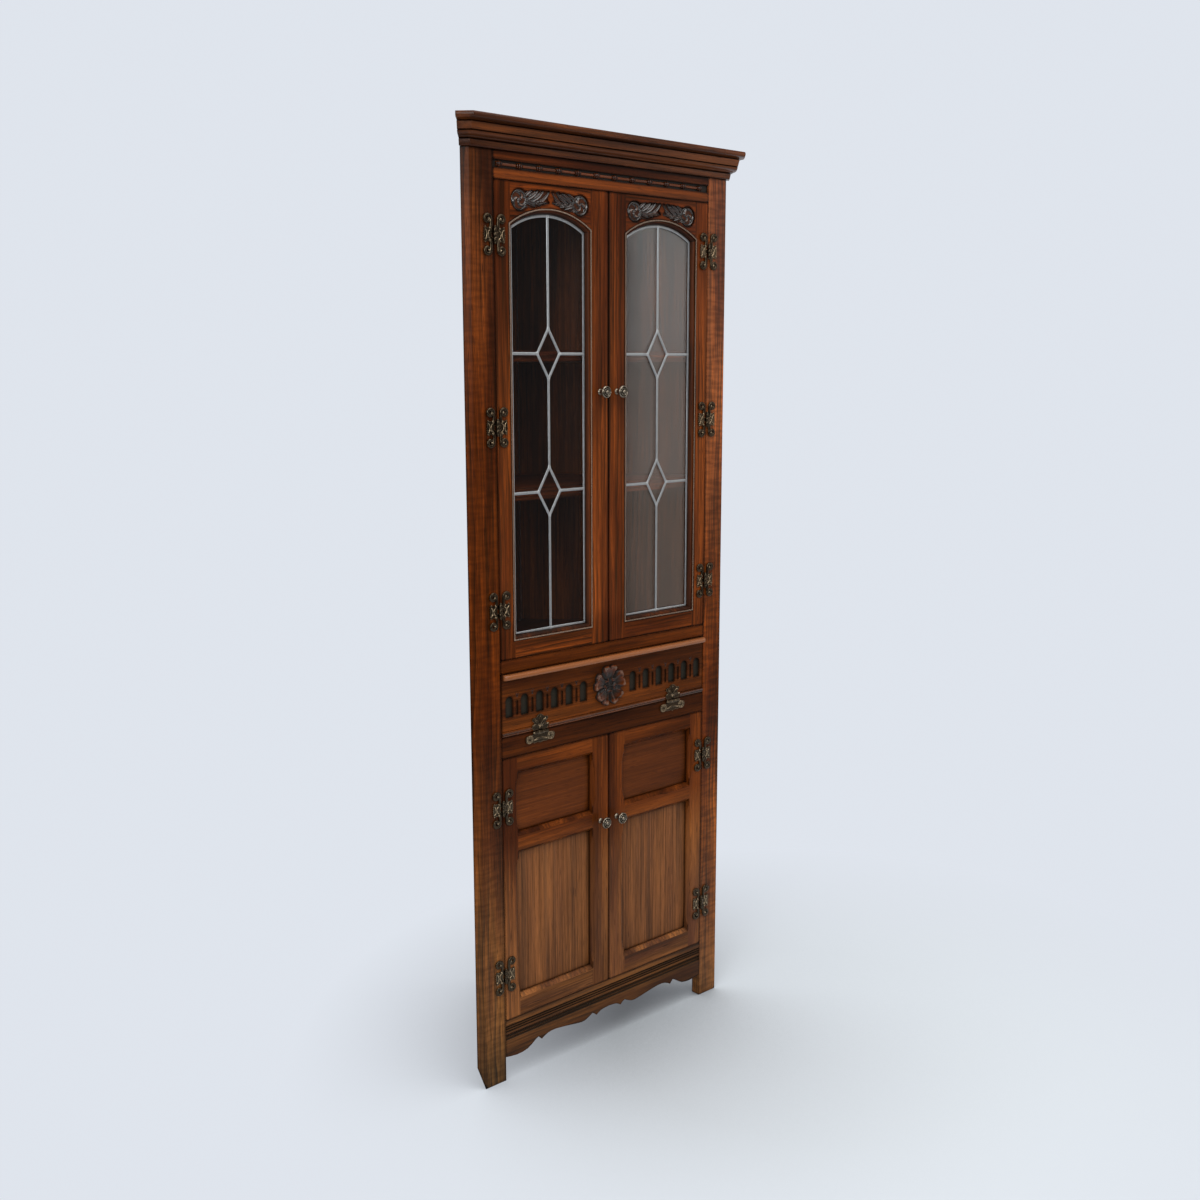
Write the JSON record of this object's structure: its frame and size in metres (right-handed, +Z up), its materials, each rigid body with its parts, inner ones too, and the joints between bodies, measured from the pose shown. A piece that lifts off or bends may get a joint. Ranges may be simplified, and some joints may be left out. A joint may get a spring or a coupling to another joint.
{
  "type": "corner cupboard",
  "caption": "Tall corner cupboard with arched leaded glass doors above, a carved fall flap in the middle and panelled doors below, on scroll hinges.",
  "frame": {"origin": "centre of the bounding box's underside, on the floor", "axes": "+Z up, the tall way; +Y from the front frame back towards the room corner; +X to the right seen from the front"},
  "size_m": [0.7252, 0.3794, 1.83],
  "materials": {
    "oak": "satin reddish brown stained oak with worn edges",
    "dark_oak": "dark brown stained oak boards, flat sheen",
    "hinge_bronze": "antique dark bronze with rubbed brassy edges",
    "knob_pewter": "antique pewter bronze, polished on the rims",
    "came_lead": "dull silver grey lead",
    "pane_glass": "clear window glass"
  },
  "bodies": {
    "carcass": {"left_front_post": "oak", "left_wall_panel": "dark_oak", "right_front_post": "oak", "right_wall_panel": "dark_oak", "corner_post": "dark_oak", "top_board": "dark_oak", "cornice": "oak", "frieze_rail": "oak", "display_floor": "oak", "upper_shelf": "oak", "lower_shelf": "oak", "cupboard_rail": "oak", "compartment_floor": "oak", "cupboard_shelf": "oak", "cupboard_floor": "oak", "bottom_rail": "oak", "stay_guide": "hinge_bronze", "left_display_lower_hinge_fixed_leaf": "hinge_bronze", "left_display_middle_hinge_fixed_leaf": "hinge_bronze", "left_display_upper_hinge_fixed_leaf": "hinge_bronze", "left_cupboard_lower_hinge_fixed_leaf": "hinge_bronze", "left_cupboard_upper_hinge_fixed_leaf": "hinge_bronze", "left_flap_hinge_fixed_leaf": "hinge_bronze", "right_display_lower_hinge_fixed_leaf": "hinge_bronze", "right_display_middle_hinge_fixed_leaf": "hinge_bronze", "right_display_upper_hinge_fixed_leaf": "hinge_bronze", "right_cupboard_lower_hinge_fixed_leaf": "hinge_bronze", "right_cupboard_upper_hinge_fixed_leaf": "hinge_bronze", "right_flap_hinge_fixed_leaf": "hinge_bronze"},
    "left_display_door": {"left_display_lower_hinge_door_leaf": "hinge_bronze", "left_display_middle_hinge_door_leaf": "hinge_bronze", "left_display_upper_hinge_door_leaf": "hinge_bronze", "left_display_door_frame": "oak", "left_display_door_glass": "pane_glass", "left_display_door_cames": "came_lead", "left_display_door_knob": "knob_pewter"},
    "right_display_door": {"right_display_lower_hinge_door_leaf": "hinge_bronze", "right_display_middle_hinge_door_leaf": "hinge_bronze", "right_display_upper_hinge_door_leaf": "hinge_bronze", "right_display_door_frame": "oak", "right_display_door_glass": "pane_glass", "right_display_door_cames": "came_lead", "right_display_door_knob": "knob_pewter"},
    "left_cupboard_door": {"left_cupboard_lower_hinge_door_leaf": "hinge_bronze", "left_cupboard_upper_hinge_door_leaf": "hinge_bronze", "left_cupboard_door_frame": "oak", "left_cupboard_door_upper_panel": "oak", "left_cupboard_door_lower_panel": "oak", "left_cupboard_door_knob": "knob_pewter"},
    "right_cupboard_door": {"right_cupboard_lower_hinge_door_leaf": "hinge_bronze", "right_cupboard_upper_hinge_door_leaf": "hinge_bronze", "right_cupboard_door_frame": "oak", "right_cupboard_door_upper_panel": "oak", "right_cupboard_door_lower_panel": "oak", "right_cupboard_door_knob": "knob_pewter"},
    "fall_flap": {"left_flap_hinge_flap_leaf": "hinge_bronze", "right_flap_hinge_flap_leaf": "hinge_bronze", "flap_board": "oak", "flap_rose": "oak", "flap_quadrant_stay": "hinge_bronze"}
  },
  "joints": [
    {"name": "left_display_door_hinge", "type": "hinge", "parent": "carcass", "child": "left_display_door", "pos_m": [-0.273, -0.15538, 1.292], "axis": [0, 0, -1], "range_deg": [0, 120]},
    {"name": "right_display_door_hinge", "type": "hinge", "parent": "carcass", "child": "right_display_door", "pos_m": [0.273, -0.15538, 1.292], "axis": [0, 0, 1], "range_deg": [0, 120]},
    {"name": "left_cupboard_door_hinge", "type": "hinge", "parent": "carcass", "child": "left_cupboard_door", "pos_m": [-0.273, -0.15538, 0.395], "axis": [0, 0, -1], "range_deg": [0, 120]},
    {"name": "right_cupboard_door_hinge", "type": "hinge", "parent": "carcass", "child": "right_cupboard_door", "pos_m": [0.273, -0.15538, 0.395], "axis": [0, 0, 1], "range_deg": [0, 120]},
    {"name": "fall_flap_hinge", "type": "hinge", "parent": "carcass", "child": "fall_flap", "pos_m": [0, -0.15538, 0.703], "axis": [1, 0, 0], "range_deg": [0, 90]}
  ]
}
